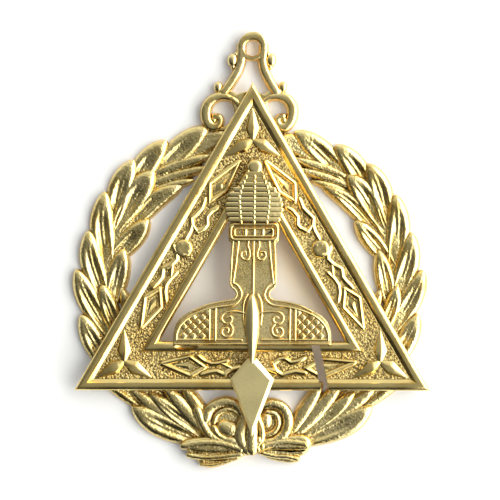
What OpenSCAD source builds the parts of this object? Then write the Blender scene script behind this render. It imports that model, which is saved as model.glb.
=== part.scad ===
// Collar jewel in cast and gilded brass: a pierced triangle on a laurel wreath, with a
// domed temple front and a trowel on top, and a scrolled hanger with one suspension hole.
// It lies on its back: +X to the right, +Y towards the hanger, +Z out of the face.

/* [Triangle] */
// Side of the triangle, corner to corner
tri_side = 74.4; // [66:0.2:80]
// Width of one arm, from the outer edge to the opening
arm_w = 10.1; // [8.6:0.1:11.2]
// Thickness of the triangle over its rims
tri_t = 2; // [1.6:0.1:2.6]
// Depth of the sunken field below the rims
field_depth = 0.7; // [0.4:0.05:0.9]
// Flat width of the outer rim
outer_rim_w = 1.5; // [1.2:0.1:2]
// Width of the slope from the outer rim down to the field
outer_slope_w = 0.9; // [0.7:0.1:1.4]
// Flat width of the inner rim
inner_rim_w = 1.3; // [1:0.1:1.7]
// Width of the bevel from the inner rim down into the opening
inner_bevel_w = 0.9; // [0.6:0.1:1.3]
// Bevel along the outer edge
edge_bevel = 0.35; // [0.2:0.05:0.5]
// Height of the ornament above the field
relief_h = 0.45; // [0.25:0.05:0.6]

/* [Slot in the base arm] */
// Width of the slot that breaks the base arm
slot_w = 1.7; // [1.2:0.1:2.2]
// Distance of the slot from the middle, at the middle of the arm
slot_x = 14.2; // [12:0.2:17]
// Lean of the slot from square
slot_lean = 12; // [0:1:20]

/* [Corner stars and bosses] */
// Length of one star blade
blade_l = 6.5; // [5:0.1:7]
// Width of one star blade
blade_w = 3.1; // [2.2:0.1:3.6]
// Diameter of the round bosses on the arms
boss_d = 3.2; // [2.4:0.1:3.8]
// Width of the raised ribs on the arms
rib_w = 0.55; // [0.4:0.05:0.7]

/* [Temple front] */
// Span of the wings
emblem_w = 33; // [28:0.5:36]
// Height of the wings
wing_h = 9.5; // [8:0.1:10.5]
// Height of the shaft between the wings and the band
shaft_h = 12.6; // [11:0.2:14]
// Width of the shaft
shaft_w = 10.1; // [9:0.1:11.5]
// Height of the band below the dome
band_h = 3.6; // [3:0.1:4.2]
// Height of the dome
dome_h = 10.2; // [9:0.1:11.5]
// Width of the dome
dome_w = 11.4; // [10:0.1:12.5]
// Diameter of the disc on the dome
finial_d = 2.9; // [2.2:0.1:3.4]
// Thickness of the plate
emblem_t = 0.9; // [0.7:0.05:1.3]
// Height of its raised lines
line_h = 0.35; // [0.2:0.05:0.5]
// Width of its raised lines
line_w = 0.55; // [0.4:0.05:0.7]
// How far the foot of the plate laps over the inner rim
emblem_lap = 0.6; // [0.3:0.1:1]

/* [Trowel] */
// Length of the handle
handle_l = 12.4; // [10.6:0.2:13.4]
// Largest width of the handle
handle_w = 3.7; // [3.2:0.1:4.6]
// Width of the neck between the handle and the blade
neck_w = 1.9; // [1.4:0.1:2.4]
// Height of the handle above the temple plate
handle_h = 1.5; // [1.1:0.1:1.9]
// Length of the blade
trowel_l = 16.2; // [15:0.2:18]
// Width of the blade
trowel_w = 9.2; // [8:0.1:10.5]
// Thickness of the blade
trowel_t = 1.1; // [0.8:0.1:1.4]
// Width of the bevel round the blade
trowel_bevel = 0.7; // [0.4:0.05:0.9]

/* [Hanger] */
// Outer diameter of the loop
loop_d = 6.2; // [5.6:0.1:7]
// Diameter of the suspension hole
hole_d = 3.2; // [2.6:0.1:3.6]
// Height of the hole above the apex of the triangle
hole_rise = 7.4; // [7:0.1:8.4]
// Thickness of the hanger
hanger_t = 1.8; // [1.4:0.1:2.1]
// Width of its arms
strap_w = 1.5; // [1.2:0.05:1.7]
// Outer diameter of the side scrolls
volute_d = 7.8; // [7:0.1:8.2]
// Diameter of the small knobs on the arms
knob_d = 2; // [1.6:0.1:2.4]
// Rise of the side scrolls above the tips of the top leaves
hanger_play = 0.55; // [0.5:0.05:0.9]

/* [Wreath] */
// How far the widest leaves reach past the lower corners of the triangle
leaf_play = 0.2; // [0:0.1:1.2]
// Height of the wreath, up to the back of the triangle
wreath_t = 2.2; // [1.8:0.1:2.8]
// Width of the stem ring under the leaves
stem_w = 4.4; // [3:0.2:6]
// Thickness of the stem ring
stem_t = 1; // [0.7:0.1:1.4]
// Depth of the hollow inside each leaf's rim
leaf_hollow = 0.45; // [0.2:0.05:0.6]
// Width of each leaf's rim
leaf_rim_w = 0.5; // [0.35:0.05:0.7]
// Outer diameter of the scrolls beside the knot
scroll_d = 8.8; // [7.8:0.1:9.6]
// Height of the scrolls and ribbon tails
bow_t = 3.1; // [2.4:0.1:3.8]
// Width of the knot between the scrolls
knot_w = 2.6; // [2:0.1:3.4]
// Length of the left ribbon tail
left_tail = 14; // [11:0.2:15.5]
// Length of the right ribbon tail
right_tail = 11.8; // [10:0.2:14]
// Width of the ribbon tails
tail_w = 5.4; // [4.4:0.1:6.2]

/* [Hidden] */
$fn = 32;

// A cut runs this far past the face it opens
over = 1;
// Plates are joined over this depth
joint = 0.1;

// Inradius of the outer edge, and of the lines inside it
tri_in = tri_side * sqrt(3) / 6;
opening_in = tri_in - arm_w;
field_outer = tri_in - outer_rim_w - outer_slope_w;
field_inner = opening_in + inner_bevel_w + inner_rim_w;
field_mid = (field_outer + field_inner) / 2;
field_w = field_outer - field_inner;
apex_y = 2 * tri_in;

// Levels above the surface that the jewel lies on
tri_z = wreath_t;
rim_z = tri_z + tri_t;
plate_z = rim_z + emblem_t;

// Places on the temple front
foot_y = -opening_in - emblem_lap;
shoulder_y = foot_y + wing_h;
band_y = shoulder_y + shaft_h;
dome_y = band_y + band_h;
finial_y = dome_y + dome_h + 0.42 * finial_d;
hip = shaft_w / 2;
waist = 0.84 * hip;

// Places of the trowel, and the seam round it in the temple's lines
blade_y = foot_y - 2.5 * trowel_t;
handle_y = blade_y + handle_l + trowel_t;
seam = 0.15;

// Leaves of one half of the wreath, low to high.
// Columns: tip angle, tip radius, base angle, base radius, width, with lengths as shares
// of wreath_r and angles from the level line
OUTER_LEAVES = [
    [-46, 1.13, -72, 1.04, 0.17],
    [-34, 1.15, -60, 1.02, 0.15],
    [-23, 1.10, -48, 0.98, 0.15],
    [-9, 1.17, -34, 0.97, 0.16],
    [5, 1.20, -20, 0.97, 0.16],
    [19, 1.17, -6, 0.97, 0.155],
    [33, 1.18, 8, 0.97, 0.155],
    [47, 1.175, 22, 0.98, 0.155],
    [60, 1.135, 36, 0.98, 0.15],
    [73.5, 1.11, 50, 0.98, 0.15],
    [84, 1.04, 64, 0.97, 0.14]
];
INNER_LEAVES = [
    [-55, 0.84, -72, 0.98, 0.14],
    [-38, 0.86, -58, 0.98, 0.14],
    [-20, 0.86, -42, 0.97, 0.14],
    [-2, 0.86, -23, 0.97, 0.14],
    [16, 0.87, -6, 0.96, 0.14],
    [32, 0.83, 10, 0.96, 0.14],
    [44, 0.84, 24, 0.95, 0.14],
    [54.5, 0.87, 34, 0.96, 0.14],
    [65, 0.845, 46, 0.96, 0.13],
    [76, 0.86, 57, 0.95, 0.13]
];
MIDDLE_LEAVES = [
    [-47, 1.01, -72, 1.0, 0.15],
    [-30, 1.0, -53, 0.99, 0.15],
    [-13, 1.0, -36, 0.99, 0.15],
    [1.5, 1.0, -20, 0.98, 0.15],
    [18, 1.0, -4, 0.97, 0.14],
    [34, 1.0, 12, 0.97, 0.14],
    [49.5, 1.025, 26, 0.97, 0.16],
    [66, 0.98, 42, 0.98, 0.14],
    [80, 0.96, 58, 0.98, 0.13]
];

// Rib pattern of half an arm, from the boss to the corner star.
// Columns: distance along the arm as a share of the half arm, half width as a share of field_w
LOZENGE = [[0.1, 0], [0.24, 0.25], [0.335, 0.1]];
FLARE = [[0.335, 0.1], [0.42, 0.33]];
KITE = [[0.37, 0.02], [0.52, 0.41], [0.845, 0.02]];

// Outline of half the dome and of half a wing.
// Columns: half width and height, as shares of dome_w / 2 and dome_h, then of
// emblem_w / 2 and wing_h
DOME = [[0.84, 0], [0.97, 0.17], [1, 0.33], [0.95, 0.5], [0.78, 0.7], [0.5, 0.87], [0.22, 1]];
WING = [[1, 0], [1, 0.27], [0.97, 0.52], [0.88, 0.68], [0.73, 0.8], [0.53, 0.9]];

// Half width of the trowel's handle.
// Columns: distance from the top as a share of handle_l, half width as a share of handle_w / 2
HANDLE = [[0, 0.1], [0.02, 0.45], [0.08, 0.75], [0.16, 0.95], [0.25, 1], [0.5, 0.83],
    [0.8, 0.58], [1, 0.47]];

// Line of one arm of the hanger, from the loop down to the scroll.
// Columns: distance from the middle as a share of loop_d, height above the apex of the
// triangle as a share of hole_rise
ARM = [[0.355, 0.62], [0.43, 0.34], [0.6, 0.115], [0.77, -0.14]];

// Half width of a leaf along its length, for its rim and for the hollow inside the rim
RIM_STATIONS = [0, 0.12, 0.34, 0.62, 0.87, 1];
HOLLOW_STATIONS = [0, 0.25, 0.7, 1];
function leaf_half(s) = 0.5 * pow(sin(180 * pow(s, 0.92)), 0.75);

// The widest leaves end beside the lower corners of the triangle, and the side scrolls
// of the hanger stand over the top leaves
widest_leaf = max([for (row = OUTER_LEAVES) row[1] * cos(row[0])]);
top_leaf = OUTER_LEAVES[len(OUTER_LEAVES) - 1];
wreath_r = (tri_side / 2 + leaf_play) / widest_leaf;
hole_y = apex_y + hole_rise;
volute_x = 0.81 * volute_d;
volute_y = top_leaf[1] * wreath_r * sin(top_leaf[0]) + hanger_play + volute_d / 2;

// Places of the bow
scroll_x = knot_w / 2 + 0.36 * scroll_d;
scroll_y = -0.9 * wreath_r;
tail_y = scroll_y - 0.42 * scroll_d;

// The origin is under the middle of the whole outline
top_y = hole_y + loop_d / 2;
bottom_y = tail_y - tail_w;
mid_y = (top_y + bottom_y) / 2;

function polar(a, r) = [r * cos(a), r * sin(a)];
function flip_x(p) = [-p.x, p.y];
function turned(v) = [-v.y, v.x];
function unit(v) = v / norm(v);
function reversed(list) = [for (i = [len(list) - 1:-1:0]) list[i]];

// Points of a smooth curve through all of a short list of points
function bend_at(p, i) = (i == 0) ? p[1] - p[0]
    : (i == len(p) - 1) ? p[i] - p[i - 1] : (p[i + 1] - p[i - 1]) / 2;
function curve(p, steps = 5) = [
    for (i = [0:len(p) - 2])
        for (k = [0:steps - (i == len(p) - 2 ? 0 : 1)])
            let (t = k / steps, a = bend_at(p, i), b = bend_at(p, i + 1))
                p[i] * (2 * t * t * t - 3 * t * t + 1) + a * (t * t * t - 2 * t * t + t)
                    + p[i + 1] * (3 * t * t - 2 * t * t * t) + b * (t * t * t - t * t)
];

// Flat band of one width along a line of points
module stroke(path, w) {
    side = [for (i = [0:len(path) - 1]) turned(unit(bend_at(path, i))) * w / 2];
    polygon(concat(
        [for (i = [0:len(path) - 1]) path[i] + side[i]],
        reversed([for (i = [0:len(path) - 1]) path[i] - side[i]])
    ));
}

// Spiral line that curls in from the radius r, over some turns
function spiral(centre, r, start, turns, steps = 14) = [
    for (i = [0:steps])
        centre + polar(start + turns * 360 * i / steps, r * (1 - 0.72 * i / steps))
];

module both_sides() {
    children();
    mirror([1, 0, 0]) children();
}

module seated(z) {
    translate([0, -mid_y, z]) children();
}

// Equilateral triangle about the origin, point up
module tri(inradius) {
    polygon([for (a = [90, 210, 330]) polar(a, 2 * inradius)]);
}

// Triangular prism whose walls lean, from one inradius at its foot to another at its top
module leaning_tri(foot, top, h) {
    linear_extrude(height = h, scale = top / foot) tri(foot);
}

// Places its children at the middle of each arm, with +X along the arm
module on_arms() {
    for (a = [30, 150, 270]) rotate(a - 90) translate([0, field_mid]) children();
}

module star_blade() {
    wide = 0.36;
    translate([wide * blade_l, 0])
        linear_extrude(height = relief_h, scale = 0.12)
            polygon([
                [-wide * blade_l, 0], [0, blade_w / 2], [(1 - wide) * blade_l, 0], [0, -blade_w / 2]
            ]);
}

module corner_star() {
    for (a = [90, 210, 330]) rotate(a) star_blade();
    cylinder(d1 = 0.45 * blade_w, d2 = 0.2 * blade_w, h = 0.8 * relief_h, $fn = 6);
}

// Ribs between a boss and a corner star, on the +X side of a boss
module half_arm_ribs(run) {
    function at(row, side) = [row[0] * run, side * row[1] * field_w];
    for (side = [-1, 1]) {
        stroke([for (row = LOZENGE) at(row, side)], rib_w);
        stroke([for (row = FLARE) at(row, side)], rib_w);
        stroke([for (row = KITE) at(row, side)], rib_w);
    }
    translate([0.58 * run, 0]) circle(d = 2 * rib_w, $fn = 6);
}

module triangle() {
    star_r = 1.88 * field_mid;
    half_arm = star_r * sqrt(3) / 2;
    color("goldenrod") seated(tri_z) difference() {
        union() {
            difference() {
                union() {
                    linear_extrude(tri_t - edge_bevel) tri(tri_in);
                    translate([0, 0, tri_t - edge_bevel])
                        leaning_tri(tri_in, tri_in - edge_bevel, edge_bevel);
                }
                difference() {
                    translate([0, 0, tri_t - field_depth])
                        leaning_tri(field_outer, field_outer + outer_slope_w, field_depth);
                    linear_extrude(tri_t + over) tri(field_inner);
                }
            }
            translate([0, 0, tri_t - field_depth - joint]) {
                for (a = [90, 210, 330])
                    translate(polar(a, star_r)) translate([0, 0, joint]) corner_star();
                on_arms() {
                    cylinder(d = boss_d, h = relief_h + joint);
                    both_sides() linear_extrude(relief_h + joint) half_arm_ribs(half_arm);
                }
            }
        }
        translate([0, 0, -over]) linear_extrude(tri_t + 2 * over) tri(opening_in);
        translate([0, 0, tri_t / 2])
            leaning_tri(opening_in, opening_in + inner_bevel_w, tri_t / 2);
        translate([slot_x, -tri_in + arm_w / 2, tri_t / 2]) rotate(slot_lean)
            cube([slot_w, 2 * arm_w, 2 * tri_t], center = true);
    }
}

// Flat outline from the foot of the wings to the top of the dome
module temple_outline() {
    wing = curve([for (row = WING) [row[0] * emblem_w / 2, foot_y + row[1] * wing_h]], 3);
    dome = curve([for (row = DOME) [row[0] * dome_w / 2, dome_y + row[1] * dome_h]], 3);
    side = concat(
        wing,
        [[hip, shoulder_y], [waist, shoulder_y + 0.05 * shaft_h],
         [0.92 * waist, shoulder_y + 0.13 * shaft_h], [waist, shoulder_y + 0.21 * shaft_h],
         [hip, shoulder_y + 0.28 * shaft_h], [hip, dome_y]],
        dome
    );
    polygon(concat(side, reversed([for (p = side) flip_x(p)])));
    translate([0, finial_y]) circle(d = finial_d);
}

// Courses of the dome, with three upright joints
module dome_lines() {
    courses = 8;
    pitch = 0.9 * dome_h / courses;
    intersection() {
        polygon(concat(
            curve([for (row = DOME) [row[0] * dome_w / 2, dome_y + row[1] * dome_h]], 3),
            reversed(curve([for (row = DOME) [-row[0] * dome_w / 2, dome_y + row[1] * dome_h]], 3))
        ));
        union() {
            for (i = [1:courses])
                translate([-dome_w, dome_y + (i - 0.3) * pitch]) square([2 * dome_w, line_w]);
            stroke([[0, dome_y], [0, dome_y + dome_h]], line_w);
            both_sides() stroke(
                curve([[0.25 * dome_w, dome_y], [0.26 * dome_w, dome_y + 0.45 * dome_h],
                    [0.1 * dome_w, dome_y + 0.95 * dome_h]], 3), line_w);
        }
    }
}

// Raised frame of the band, with its row of beads
module band_lines() {
    frame_w = 0.83 * shaft_w;
    frame_h = 0.64 * band_h;
    beads = 4;
    translate([0, band_y + 0.44 * band_h]) {
        difference() {
            square([frame_w, frame_h], center = true);
            square([frame_w - 2 * line_w, frame_h - 2 * line_w], center = true);
        }
        for (i = [1:beads])
            translate([(i - (beads + 1) / 2) * frame_w / beads, 0])
                square([line_w, frame_h], center = true);
    }
}

// Lines of one side of the shaft: two uprights, the curl and the notch below them
module shaft_lines() {
    top = band_y;
    curl = [0.33 * hip, band_y - 0.23 * shaft_h];
    curl_r = 0.17 * hip;
    stroke([[0.63 * hip, top], [0.83 * hip, shoulder_y + 0.31 * shaft_h]], line_w);
    stroke([[0.88 * hip, top], [0.9 * hip, top - 0.3 * shaft_h]], line_w);
    stroke(concat([[curl.x - curl_r, top]], spiral(curl, curl_r, 180, 1.25)), 0.8 * line_w);
    stroke(curve([[0.78 * waist, shoulder_y + 0.22 * shaft_h], [0.62 * waist, shoulder_y + 0.12 * shaft_h],
        [0.68 * waist, shoulder_y], [0.95 * waist, shoulder_y - 0.12 * wing_h]], 3), line_w);
}

// Lines of one wing: foot lines, uprights, the double curl and the lattice at its end
module wing_lines() {
    inner = 0.465 * emblem_w / 2;
    outer = 0.53 * emblem_w / 2;
    bars = 12;
    pitch = 0.155 * wing_h;
    curl_x = 0.303 * emblem_w / 2;
    curl_r = 0.11 * wing_h;
    low = [curl_x, foot_y + 0.33 * wing_h];
    high = [curl_x, foot_y + 0.62 * wing_h];
    stroke([[0, foot_y + 0.045 * wing_h], [0.98 * emblem_w / 2, foot_y + 0.045 * wing_h]], line_w);
    stroke([[0, foot_y + 0.16 * wing_h], [0.96 * emblem_w / 2, foot_y + 0.16 * wing_h]], 0.7 * line_w);
    stroke([[inner, foot_y + 0.13 * wing_h], [inner, foot_y + 0.88 * wing_h]], line_w);
    stroke(spiral(high, curl_r, 250, -1.1), 0.8 * line_w);
    stroke(spiral(low, curl_r, 110, -1.1), 0.8 * line_w);
    stroke([high + polar(250, curl_r), low + polar(110, curl_r)], 0.8 * line_w);
    intersection() {
        polygon(concat([[outer, foot_y + 0.16 * wing_h], [outer, foot_y + 0.9 * wing_h]],
            [for (row = [[0.64, 0.84], [0.82, 0.69], [0.93, 0.46], [0.96, 0.16]])
                [row[0] * emblem_w / 2, foot_y + row[1] * wing_h]]));
        union() {
            translate([outer - line_w / 2, foot_y]) square([line_w, wing_h]);
            for (side = [-1, 1], i = [-bars / 2:bars / 2])
                translate([0.745 * emblem_w / 2, foot_y + 0.5 * wing_h]) rotate(side * 45)
                    translate([0, i * pitch]) square([emblem_w / 2, 0.42 * line_w], center = true);
        }
    }
}

module temple_front() {
    color("gold") seated(rim_z) {
        linear_extrude(emblem_t) temple_outline();
        translate([0, 0, emblem_t - joint]) linear_extrude(line_h + joint) difference() {
            union() {
                dome_lines();
                stroke([[0, band_y], [0, handle_y + line_w]], line_w);
                both_sides() {
                    band_lines();
                    shaft_lines();
                    wing_lines();
                }
                translate([0, finial_y]) difference() {
                    circle(d = finial_d);
                    circle(d = finial_d - 2 * line_w);
                }
            }
            translate([0, seam]) handle_outline(seam);
        }
    }
}

function handle_side(play) = [for (row = HANDLE) [row[1] * handle_w / 2 + play, -row[0] * handle_l]];

module handle_outline(play) {
    side = curve(handle_side(play), 2);
    translate([0, handle_y]) polygon(concat(side, reversed([for (p = side) flip_x(p)])));
}

module blade_outline(inset) {
    offset(delta = -inset)
        polygon([[neck_w / 2, 0], [trowel_w / 2, -0.305 * trowel_l], [0, -trowel_l],
            [-trowel_w / 2, -0.305 * trowel_l], [-neck_w / 2, 0]]);
}

module trowel() {
    sink = handle_w / 2 - handle_h;
    run = handle_y - blade_y;
    color("khaki") seated(0) {
        translate([0, blade_y, rim_z]) hull() {
            linear_extrude(0.45 * trowel_t) blade_outline(0);
            linear_extrude(trowel_t) blade_outline(trowel_bevel);
        }
        translate([-neck_w / 2, blade_y - trowel_bevel, rim_z])
            cube([neck_w, foot_y - seam - blade_y + trowel_bevel, trowel_t + joint]);
        intersection() {
            translate([0, handle_y, plate_z - sink]) rotate([90, 0, 0]) rotate_extrude()
                polygon(concat([[0, 0]], [for (p = handle_side(0)) [p.x, -p.y]],
                    [[neck_w / 2, run + trowel_bevel], [0, run + trowel_bevel]]));
            translate([-handle_w, blade_y - 2 * trowel_bevel, plate_z])
                cube([2 * handle_w, run + handle_w, 2 * handle_w]);
        }
    }
}

// One half of the hanger beside the loop: arm, knobs, scroll and web
module hanger_side() {
    bead_d = 0.3 * volute_d;
    volute_r = (volute_d - strap_w) / 2;
    volute = [volute_x, volute_y];
    bead = volute + polar(-52, volute_r - 0.4 * strap_w);
    shoulder = [volute_x - 0.1 * volute_d, volute_y + volute_r];
    arm = concat([[(loop_d - strap_w) / 2, hole_y]],
        [for (row = ARM) [row[0] * loop_d, apex_y + row[1] * hole_rise]], [shoulder]);
    slab() stroke(curve(arm, 4), strap_w);
    slab() stroke([for (a = [110:-15:-100]) volute + polar(a, volute_r)], strap_w);
    slab() translate(bead) circle(d = bead_d);
    slab() translate([0.64 * loop_d, hole_y - 0.37 * loop_d]) circle(d = knob_d);
    slab() translate([0.54 * loop_d, hole_y - 0.42 * loop_d]) circle(d = 0.8 * knob_d);
    for (rise = [0.3, 0.65])
        slab() translate(shoulder + [0.62 * knob_d, rise * knob_d]) circle(d = 0.85 * knob_d);
    slab() polygon([shoulder + [0.3 * strap_w, 0.2 * strap_w], arm[3], [0.8 * arm[3].x, apex_y - strap_w],
        [1.3 * strap_w, apex_y - 2.1 * strap_w], [0.4 * strap_w, apex_y - 4 * strap_w],
        [volute_x - 0.6 * volute_d, volute_y], [volute_x - 0.36 * volute_d, volute_y + 0.24 * volute_d]]);
    slab() polygon([bead, [0.4 * strap_w, volute_y - 0.1 * volute_d],
        [0.4 * strap_w, volute_y - volute_r], volute + polar(-100, volute_r)]);
}

module slab() {
    linear_extrude(hanger_t) children();
}

module hanger() {
    tab_w = 0.5 * volute_d;
    tab_low = volute_y - volute_d / 2 + strap_w / 2;
    color("gold") seated(tri_z - hanger_t) difference() {
        union() {
            slab() translate([0, hole_y]) circle(d = loop_d);
            slab() translate([-0.32 * loop_d, hole_y - 0.45 * loop_d]) square([0.64 * loop_d, 0.2 * loop_d]);
            slab() translate([-tab_w / 2, tab_low]) square([tab_w, apex_y - 3 * strap_w - tab_low]);
            both_sides() hanger_side();
        }
        translate([0, hole_y, -over]) cylinder(d = hole_d, h = hanger_t + 2 * over);
    }
}

module leaf_outline(l, w, inset, stations) {
    side = [for (s = stations)
        [1.6 * inset + s * (l - 3.4 * inset), (w - 2 * inset) * leaf_half(s)]];
    polygon(concat(side, reversed([for (i = [1:len(side) - 2]) [side[i].x, -side[i].y]])));
}

module leaf(l, w, h) {
    difference() {
        hull() {
            linear_extrude(0.55 * h) leaf_outline(l, w, 0, RIM_STATIONS);
            linear_extrude(h) leaf_outline(l, w, 0.7 * leaf_rim_w, RIM_STATIONS);
        }
        translate([0, 0, h - leaf_hollow]) hull() {
            translate([0, 0, leaf_hollow]) linear_extrude(joint)
                leaf_outline(l, w, 1.6 * leaf_rim_w, HOLLOW_STATIONS);
            linear_extrude(joint) leaf_outline(l, w, 2.4 * leaf_rim_w, HOLLOW_STATIONS);
        }
    }
    linear_extrude(h - 0.3 * leaf_hollow)
        polygon([[0.1 * l, 0], [0.4 * l, -0.05 * w], [0.85 * l, 0], [0.4 * l, 0.05 * w]]);
}

module placed_leaf(row, h) {
    tip = polar(row[0], row[1] * wreath_r);
    base = polar(row[2], row[3] * wreath_r);
    way = tip - base;
    translate(base) rotate(atan2(way.y, way.x)) leaf(norm(way), row[4] * wreath_r, h);
}

module spray() {
    low_h = 0.86 * wreath_t;
    for (row = OUTER_LEAVES) placed_leaf(row, low_h);
    for (row = INNER_LEAVES) placed_leaf(row, low_h);
    for (row = MIDDLE_LEAVES) placed_leaf(row, wreath_t);
}

// Sheath round the lowest leaf stalks, where they meet the bow
module sheath() {
    linear_extrude(0.8 * wreath_t) hull() {
        translate(polar(-68, 0.9 * wreath_r)) circle(d = 0.09 * wreath_r, $fn = 10);
        translate(polar(-75, 0.9 * wreath_r)) circle(d = 0.12 * wreath_r, $fn = 10);
        translate(polar(-73, 1.02 * wreath_r)) circle(d = 0.12 * wreath_r, $fn = 10);
    }
}

module stem_ring() {
    start = -90;
    end = 78;
    steps = 28;
    linear_extrude(stem_t)
        stroke([for (i = [0:steps]) polar(start + (end - start) * i / steps, wreath_r)], stem_w);
}

// Rolled ribbon end beside the knot, with a groove and a ball in the middle
module scroll() {
    groove_w = 0.09 * scroll_d;
    translate([scroll_x, scroll_y]) {
        difference() {
            cylinder(d = scroll_d, h = bow_t, $fn = 24);
            translate([0, 0, 0.72 * bow_t]) difference() {
                cylinder(d = scroll_d - 2 * groove_w, h = bow_t, $fn = 24);
                cylinder(d = scroll_d - 4 * groove_w, h = 2 * bow_t, $fn = 24);
            }
            translate([0, 0, 0.6 * bow_t]) cylinder(d = scroll_d - 6 * groove_w, h = bow_t, $fn = 20);
        }
        cylinder(d1 = 0.42 * scroll_d, d2 = 0.26 * scroll_d, h = bow_t, $fn = 14);
    }
}

// Ribbon tail that runs out from the knot under a scroll, with two folds along it
module tail(l) {
    fold_t = 0.3 * bow_t;
    translate([0, tail_y]) {
        linear_extrude(bow_t - fold_t)
            polygon([[-joint, 0.2 * tail_w], [l, 0], [0.97 * l, -0.22 * tail_w], [0.86 * l, -0.4 * tail_w],
                [0.72 * l, -tail_w], [0.3 * l, -0.86 * tail_w], [0.08 * l, -0.56 * tail_w], [-joint, -0.5 * tail_w]]);
        for (row = [[0.02, 0.93, -0.16], [0.12, 0.74, -0.6]])
            linear_extrude(bow_t)
                stroke([[row[0] * l, row[2] * tail_w], [row[1] * l, (row[2] - 0.04) * tail_w]], 0.2 * tail_w);
    }
}

module wreath() {
    color("darkgoldenrod") seated(0) {
        both_sides() {
            spray();
            stem_ring();
            sheath();
            scroll();
        }
        tail(right_tail);
        mirror([1, 0, 0]) tail(left_tail);
        translate([-knot_w / 2, tail_y - 0.45 * tail_w, 0])
            cube([knot_w, 0.45 * tail_w + 0.55 * scroll_d, rim_z]);
    }
}

wreath();
hanger();
triangle();
temple_front();
trowel();
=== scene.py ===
"""Looks of the masonic collar jewel: cast and gilded brass, lying on its back on a pale table.

Every piece is modelled in millimetres in the row frame: +X right, +Y to the hanger, +Z out of
the face. Each piece is a set of closed lofts that are fused into one body.
"""

import math

import bmesh
import bpy
import numpy as np
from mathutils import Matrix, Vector


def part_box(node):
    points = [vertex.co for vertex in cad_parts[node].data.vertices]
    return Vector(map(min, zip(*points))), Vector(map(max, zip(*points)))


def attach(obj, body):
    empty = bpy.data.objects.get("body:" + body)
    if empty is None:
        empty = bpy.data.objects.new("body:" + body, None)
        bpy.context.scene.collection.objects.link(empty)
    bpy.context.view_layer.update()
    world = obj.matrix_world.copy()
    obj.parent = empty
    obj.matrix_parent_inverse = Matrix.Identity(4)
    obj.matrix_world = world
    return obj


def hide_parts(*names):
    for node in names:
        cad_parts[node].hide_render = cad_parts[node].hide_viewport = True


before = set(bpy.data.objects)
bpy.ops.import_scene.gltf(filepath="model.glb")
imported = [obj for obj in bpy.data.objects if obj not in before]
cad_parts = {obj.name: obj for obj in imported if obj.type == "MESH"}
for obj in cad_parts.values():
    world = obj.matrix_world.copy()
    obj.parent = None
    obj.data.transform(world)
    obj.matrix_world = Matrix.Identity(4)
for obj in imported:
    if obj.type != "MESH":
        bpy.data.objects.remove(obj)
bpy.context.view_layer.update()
MM = 0.001


def corners(node):
    """Lowest and highest corner of a CAD node, in millimetres."""
    low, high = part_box(node)
    return np.array(low) / MM, np.array(high) / MM


# Driving sizes, read from the frame
TRI_LOW, TRI_HIGH = corners("triangle")
TEMPLE_LOW = corners("temple_front")[0]
TROWEL_LOW, TROWEL_HIGH = corners("trowel")
HANGER_HIGH = corners("hanger")[1]
TRI_SIDE = TRI_HIGH[0] - TRI_LOW[0]
TRI_IN = TRI_SIDE * math.sqrt(3) / 6
TRI_T = TRI_HIGH[2] - TRI_LOW[2]
CENTRE = np.array([0.0, TRI_LOW[1] + TRI_IN])
BACK_Z = TRI_LOW[2]
RIM_Z = TRI_HIGH[2]
FOOT = TEMPLE_LOW[1]
# Directions of the triangle's corners from its middle, in degrees
TRI_CORNERS = (90, 210, 330)
# Depth of the hole's middle below the top of the hanger
HOLE_DROP = 3.1
HOLE = np.array([0.0, HANGER_HIGH[1] - HOLE_DROP])


# Lines, sections and lofts

def smooth_line(points, step=0.35, samples=40):
    """Evenly spaced points on a smooth curve through a short list of points."""
    p = np.array(points, float)
    bend = np.gradient(p, axis=0)
    bend[0], bend[-1] = p[1] - p[0], p[-1] - p[-2]
    t = np.linspace(0, 1, samples, endpoint=False)[:, None]
    parts = [
        p[i] * (2 * t**3 - 3 * t**2 + 1) + bend[i] * (t**3 - 2 * t**2 + t)
        + p[i + 1] * (3 * t**2 - 2 * t**3) + bend[i + 1] * (t**3 - t**2)
        for i in range(len(p) - 1)
    ]
    fine = np.vstack([*parts, p[-1:]])
    run = np.concatenate([[0], np.cumsum(np.linalg.norm(np.diff(fine, axis=0), axis=1))])
    count = max(2, int(round(run[-1] / step)) + 1)
    even = np.linspace(0, run[-1], count)
    return np.stack([np.interp(even, run, fine[:, k]) for k in range(fine.shape[1])], axis=1)


def straight(points, step=0.5):
    """Points along straight stretches between the given points, corners kept."""
    p = np.array(points, float)
    out = [p[:1]]
    for a, b in zip(p[:-1], p[1:]):
        n = max(1, int(round(np.linalg.norm(b - a) / step)))
        out.append(a + (b - a) * (np.arange(1, n + 1) / n)[:, None])
    return np.vstack(out)


def smooth_closed(points, step=0.4):
    """Smooth closed outline through a short list of points."""
    p = np.array(points, float)
    line = smooth_line(np.vstack([p[-2:], p, p[:2]]), step)
    away = np.linalg.norm(line - p[0], axis=1)
    half = len(line) // 2
    return line[int(np.argmin(away[:half])):half + int(np.argmin(away[half:]))]


def arc(centre, radius, start, end, step=0.3):
    """Points on an arc from one angle to another, in degrees."""
    n = max(3, int(abs(math.radians(end - start)) * radius / step) + 1)
    a = np.radians(np.linspace(start, end, n))
    return np.array(centre) + radius * np.stack([np.cos(a), np.sin(a)], axis=1)


def oval(centre, across, up, sides=24, start=0.0):
    """Closed ring of points from its two radii. start is the angle of the first, in degrees."""
    a = np.radians(start + np.arange(sides) * 360 / sides)
    return np.array(centre) + np.stack([across * np.cos(a), up * np.sin(a)], axis=1)


def heading(degrees):
    """Unit vector at an angle from the level line."""
    a = math.radians(degrees)
    return np.array([math.cos(a), math.sin(a)])


def turned(points, degrees):
    """Points turned about the origin."""
    c, s = heading(degrees)
    return np.array(points, float) @ np.array([[c, s], [-s, c]])


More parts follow.
